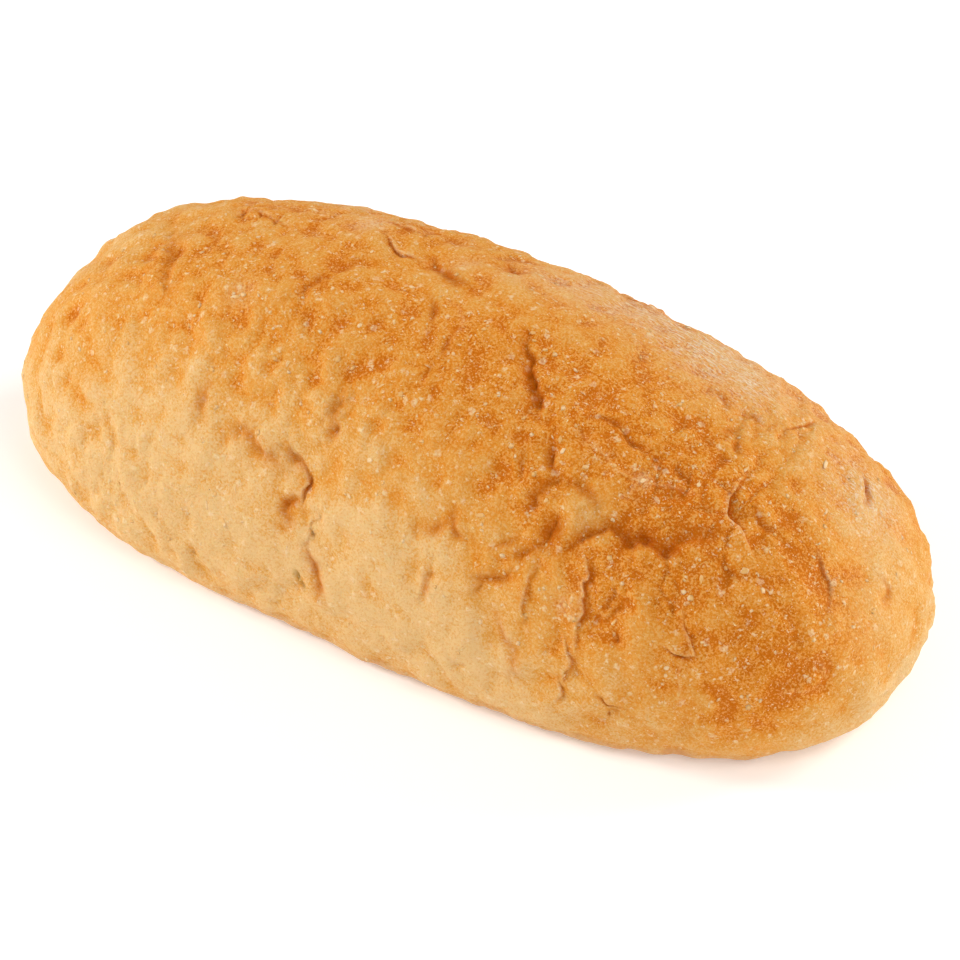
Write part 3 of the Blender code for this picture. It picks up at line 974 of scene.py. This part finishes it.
    # The browned skin, and what lies on it or shows through it.
    shade = add_node(tree, MATH, {**SUM, 1: 0.21}, {0: dark_grain, 2: tone})
    shade = add_node(tree, MATH, {**SUM, 1: -0.15}, {0: light_grain, 2: shade})
    colour = add_node(tree, "ShaderNodeValToRGB", {}, {"Fac": shade})
    stops = (
        (0.02, colours.pale), (0.40, colours.golden), (0.78, colours.brown), (1.0, colours.deep))
    elements = colour.node.color_ramp.elements
    while len(elements) < len(stops):
        elements.new(0.5)
    for element, (position, tint) in zip(elements, stops):
        element.position = position
        element.color = (*tint, 1)
    layers = (
        (light, linear("F4C27C")),
        (shown, colours.flour),
        (sparks_shown, linear("FBDDAA")),
        (pins_shown, linear("8A4A1C")),
        # Flour that stayed on the skin, with a painted highlight along fold edges and ridge crests,
        # and light lines where it was drawn over a cloth.
        (flour_and_edge_highlight, linear("F8DEB4")),
        (lines, linear("FBE6C8")),
        # Painted shade in creases, fold hollows and cracks, uneven in patches.
        (crease_shade, linear("BE5E00")),
        # The roll at the foot baked against the stone: pinkish tan.
        (foot, linear("D9A074")),
        # Open crumb in a tear: damp cream, darkened to olive brown in part by painted shade in the
        # hole.
        (shaded_crumb, linear("B98A3C")),
        # The underside: flour from the peel over an evenly toasted brown.
        (under, linear("C07F38")),
        (floury, linear("EBCFA4")),
        (speckled, linear("8F5420")),
    )
    for factor, tint in layers:
        settings = {"data_type": "RGBA", 7: (*tint, 1)}
        colour = add_node(tree, MIX, settings, {0: factor, 6: colour}, output=2)

    rough = add_node(tree, MATH, {**SUM, 1: 0.2}, {0: flour_and_edge_highlight, 2: rough})
    height = grains
    for pattern, share in (
            (cells, -0.5), (mottle, 1.4), (flecks, 0.3), (sparks, 0.2), (pins, -0.3), (lines, 0.8)):
        height = add_node(tree, MATH, {**SUM, 1: share}, {0: pattern, 2: height})
    bump = add_node(
        tree, "ShaderNodeBump", {"Strength": 1.0, "Distance": 0.26 * MM}, {"Height": height})
    for socket, source in (("Base Color", colour), ("Roughness", rough), ("Normal", bump)):
        tree.links.new(source, shader.inputs[socket])
    return material


def bran_and_flour():
    """Wheat bran and clots of flour baked onto the crust: thin, dry and matt, cream to straw."""
    material, tree, shader, where = new_material("toasted_bran", {"Specular IOR Level": 0.2})
    which = add_node(tree, NOISE, {"Scale": 1 / (3 * MM), "Detail": 1.0}, {"Vector": where})
    long_way = add_node(
        tree, "ShaderNodeMapping", {"Rotation": (0.3, 0.2, 0.8), "Scale": (1, 3, 3)},
        {"Vector": where})
    streak = add_node(tree, NOISE, {"Scale": 1 / (0.6 * MM), "Detail": 2.0}, {"Vector": long_way})
    which, streaked, rough = (
        add_node(tree, RANGE, {**SOFT, 1: start, 2: end, 3: low, 4: high}, {0: pattern})
        for pattern, start, end, low, high in (
            (which, 0.42, 0.58, 0, 1), (streak, 0.40, 0.65, 0, 0.35), (streak, 0.3, 0.7, 0.6, 0.8)))
    straw = (*linear("EDB973"), 1)
    cream = (*linear("F6D5A4"), 1)
    toasted = (*linear("D59850"), 1)
    colour = add_node(
        tree, MIX, {"data_type": "RGBA", 6: straw, 7: cream}, {0: which}, output=2)
    colour = add_node(
        tree, MIX, {"data_type": "RGBA", 7: toasted}, {0: streaked, 6: colour}, output=2)
    bump = add_node(
        tree, "ShaderNodeBump", {"Strength": 0.6, "Distance": 0.08 * MM}, {"Height": streak})
    for socket, source in (("Base Color", colour), ("Roughness", rough), ("Normal", bump)):
        tree.links.new(source, shader.inputs[socket])
    return material


def lit_floor(colour):
    """A sheet of white acrylic lit from below: matt, with a faint glow and unevenness."""
    material, tree, shader, where = new_material("lit_white_acrylic", {
        "Roughness": 0.9,
        "Specular IOR Level": 0.1,
        "Emission Color": (1, 1, 1, 1),
        "Emission Strength": 0.25,
    })
    cloud = add_node(tree, NOISE, {"Scale": 1 / (160 * MM), "Detail": 1.0}, {"Vector": where})
    darker = (*(0.97 * channel for channel in colour), 1)
    mixed = add_node(
        tree, MIX, {"data_type": "RGBA", 6: (*colour, 1), 7: darker}, {0: cloud}, output=2)
    tree.links.new(mixed, shader.inputs["Base Color"])
    return material


# ---- pieces


def new_object(name, data):
    """Adds an object to the scene that stands at the origin, unturned."""
    piece = bpy.data.objects.new(name, data)
    bpy.context.scene.collection.objects.link(piece)
    return piece


def add_flake(heap, chance, detail, length, width, thickness, place):
    """Adds one flake to the heap: a flattened, slightly bent and uneven ball."""
    flake = bmesh.new()
    bmesh.ops.create_icosphere(flake, subdivisions=detail, radius=0.5)
    for vertex in flake.verts:
        vertex.co *= chance.uniform(0.76, 1.20)
    bmesh.ops.scale(flake, vec=(length, width, thickness), verts=flake.verts)
    for vertex in flake.verts:
        vertex.co.z += 0.12 * vertex.co.x ** 2 / length
    bmesh.ops.transform(flake, matrix=place, verts=flake.verts)
    part = bpy.data.meshes.new("flake")
    flake.to_mesh(part)
    flake.free()
    heap.from_mesh(part)
    bpy.data.meshes.remove(part)


def flat_on(point, normal, turn):
    """The place of a flake that lies flat on the crust, half sunk into it, and turned."""
    facing = normal.to_track_quat("Z", "Y").to_matrix().to_4x4()
    return Matrix.Translation(point) @ facing @ Matrix.Rotation(turn, 4, "Z")


def add_small_flakes(heap, crust, chance):
    """Flakes at random, with more of them on the brown top and none on the underside."""
    browning, under = (crust.data.attributes[name].data for name in ("browning", "under"))
    polygons = crust.data.polygons
    areas = np.empty(len(polygons))
    polygons.foreach_get("area", areas)
    weights = np.cumsum(areas)
    placed = 0
    while placed < BRAN_FLAKES:
        pick = int(np.searchsorted(weights, chance.random() * weights[-1]))
        polygon = polygons[min(pick, len(polygons) - 1)]
        first = polygon.vertices[0]
        if under[first].value > 0.01 or chance.random() > 0.45 + 0.55 * browning[first].value:
            continue
        length = chance.triangular(*FLAKE_LENGTHS) * MM
        width = length * chance.uniform(*FLAKE_WIDTHS)
        place = flat_on(polygon.center, polygon.normal, chance.uniform(0, math.tau))
        thickness = chance.uniform(*FLAKE_THICKNESSES) * MM
        add_flake(heap, chance, 1, length, width, thickness, place)
        placed += 1


def add_large_flakes(heap, crust, chance, shape):
    """The flakes that have a place of their own. Each is put on the crust under its place."""
    rows = np.array(LARGE_FLAKES, float)
    middle = Vector((0, 0, WAIST_HEIGHT))
    for point, (length, width, turn) in zip(places_on_form(rows[:, :2], shape), rows[:, 2:]):
        start = middle + (Vector(point) - middle) * 1.3
        hit, place, normal, _ = crust.ray_cast(start, (middle - start).normalized())
        if not hit:
            raise RuntimeError("a flake has no crust under it")
        add_flake(
            heap, chance, 2, LARGE_FLAKE_SCALE * length, LARGE_FLAKE_SCALE * width,
            LARGE_FLAKE_THICKNESS, flat_on(place, normal, math.radians(turn)))


def flakes_mesh(crust, shape):
    """All the flakes as one mesh."""
    chance = random.Random(FLAKE_SEED)
    heap = bmesh.new()
    add_small_flakes(heap, crust, chance)
    add_large_flakes(heap, crust, chance, shape)
    mesh = bpy.data.meshes.new("bran_flakes")
    heap.to_mesh(mesh)
    heap.free()
    mesh.shade_smooth()
    return mesh


class LOAF_OT_crust(bpy.types.Operator):
    """Models the loaf's crust with its creases, folds and dents"""

    bl_idname = "loaf.model_crust"
    bl_label = "Crust"

    def execute(self, context):
        scene = context.scene
        crust = new_object("loaf_crust", crust_mesh(scene.loaf_shape))
        crust.data.materials.append(baked_crust(scene.crust_colours))
        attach(crust, "root")
        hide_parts("loaf")
        return {"FINISHED"}


class LOAF_OT_bran(bpy.types.Operator):
    """Sets bran flakes and clots of flour into the crust"""

    bl_idname = "loaf.scatter_bran"
    bl_label = "Bran and flour"

    def execute(self, context):
        scene = context.scene
        crust = scene.objects.get("loaf_crust")
        if crust is None:
            raise RuntimeError("model the crust before the bran")
        bran = new_object("bran_flakes", flakes_mesh(crust, scene.loaf_shape))
        bran.data.materials.append(bran_and_flour())
        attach(bran, "root")
        return {"FINISHED"}


def add_lamp(name, location, size, colour, power):
    """Adds a round lamp that is turned to the loaf."""
    lamp_data = bpy.data.lights.new(name, "AREA")
    lamp_data.shape = "DISK"
    lamp_data.size = size
    lamp_data.energy = power
    lamp_data.color = colour
    lamp = new_object(name, lamp_data)
    lamp.location = location
    lamp.rotation_euler = (LAMP_AIM - Vector(location)).to_track_quat("-Z", "Y").to_euler()


def add_camera():
    """A long lens, so that the loaf shows with little perspective."""
    back = Vector((
        math.sin(CAMERA_AZIMUTH) * math.cos(CAMERA_ELEVATION),
        -math.cos(CAMERA_AZIMUTH) * math.cos(CAMERA_ELEVATION),
        math.sin(CAMERA_ELEVATION),
    ))
    camera_data = bpy.data.cameras.new("camera")
    camera_data.sensor_width = 36.0
    camera_data.lens = CAMERA_LENS_MM
    camera_data.clip_start = 0.05
    camera = new_object("camera", camera_data)
    camera.location = CAMERA_AIM + back * CAMERA_DISTANCE
    camera.rotation_euler = back.to_track_quat("Z", "Y").to_euler()
    bpy.context.scene.camera = camera


class LOAF_OT_stage(bpy.types.Operator):
    """Adds the floor, the lamps and the camera"""

    bl_idname = "loaf.set_stage"
    bl_label = "Stage"

    def execute(self, context):
        scene = context.scene
        look = scene.stage_look
        plane = bmesh.new()
        bmesh.ops.create_grid(plane, x_segments=2, y_segments=2, size=FLOOR_SIZE)
        mesh = bpy.data.meshes.new("floor")
        plane.to_mesh(mesh)
        plane.free()
        mesh.transform(Matrix.Translation((0, 0, LOAF_LOW.z - FLOOR_GAP)))
        mesh.materials.append(lit_floor(look.floor_colour))
        new_object("floor", mesh)

        for row in LAMPS:
            add_lamp(*row, getattr(look, row[0] + "_power"))

        world = bpy.data.worlds.new("studio")
        world.use_nodes = True
        background = world.node_tree.nodes["Background"]
        background.inputs["Color"].default_value = (1.0, 1.0, 1.0, 1.0)
        background.inputs["Strength"].default_value = SKY_STRENGTH
        scene.world = world
        scene.view_settings.view_transform = "Standard"
        add_camera()
        return {"FINISHED"}


class LOAF_PT_panel(bpy.types.Panel):
    """The loaf's settings and steps, in the order to run them"""

    bl_idname = "LOAF_PT_panel"
    bl_label = "Sourdough Loaf"
    bl_space_type = "VIEW_3D"
    bl_region_type = "UI"
    bl_category = "Loaf"

    def draw(self, context):
        scene = context.scene
        for settings in (scene.loaf_shape, scene.crust_colours, scene.stage_look):
            box = self.layout.box()
            for name in settings.__annotations__:
                box.prop(settings, name)
        for operator in STEPS:
            self.layout.operator(operator.bl_idname)


STEPS = (LOAF_OT_crust, LOAF_OT_bran, LOAF_OT_stage)
SETTINGS = {"loaf_shape": LoafShape, "crust_colours": CrustColours, "stage_look": StageLook}


def register():
    for group in SETTINGS.values():
        bpy.utils.register_class(group)
    for name, group in SETTINGS.items():
        setattr(bpy.types.Scene, name, bpy.props.PointerProperty(type=group))
    for operator in STEPS:
        bpy.utils.register_class(operator)
    bpy.utils.register_class(LOAF_PT_panel)


def unregister():
    bpy.utils.unregister_class(LOAF_PT_panel)
    for operator in reversed(STEPS):
        bpy.utils.unregister_class(operator)
    for name, group in SETTINGS.items():
        delattr(bpy.types.Scene, name)
        bpy.utils.unregister_class(group)


def main():
    register()
    bpy.ops.loaf.model_crust()
    bpy.ops.loaf.scatter_bran()
    bpy.ops.loaf.set_stage()


if __name__ == "__main__":
    main()
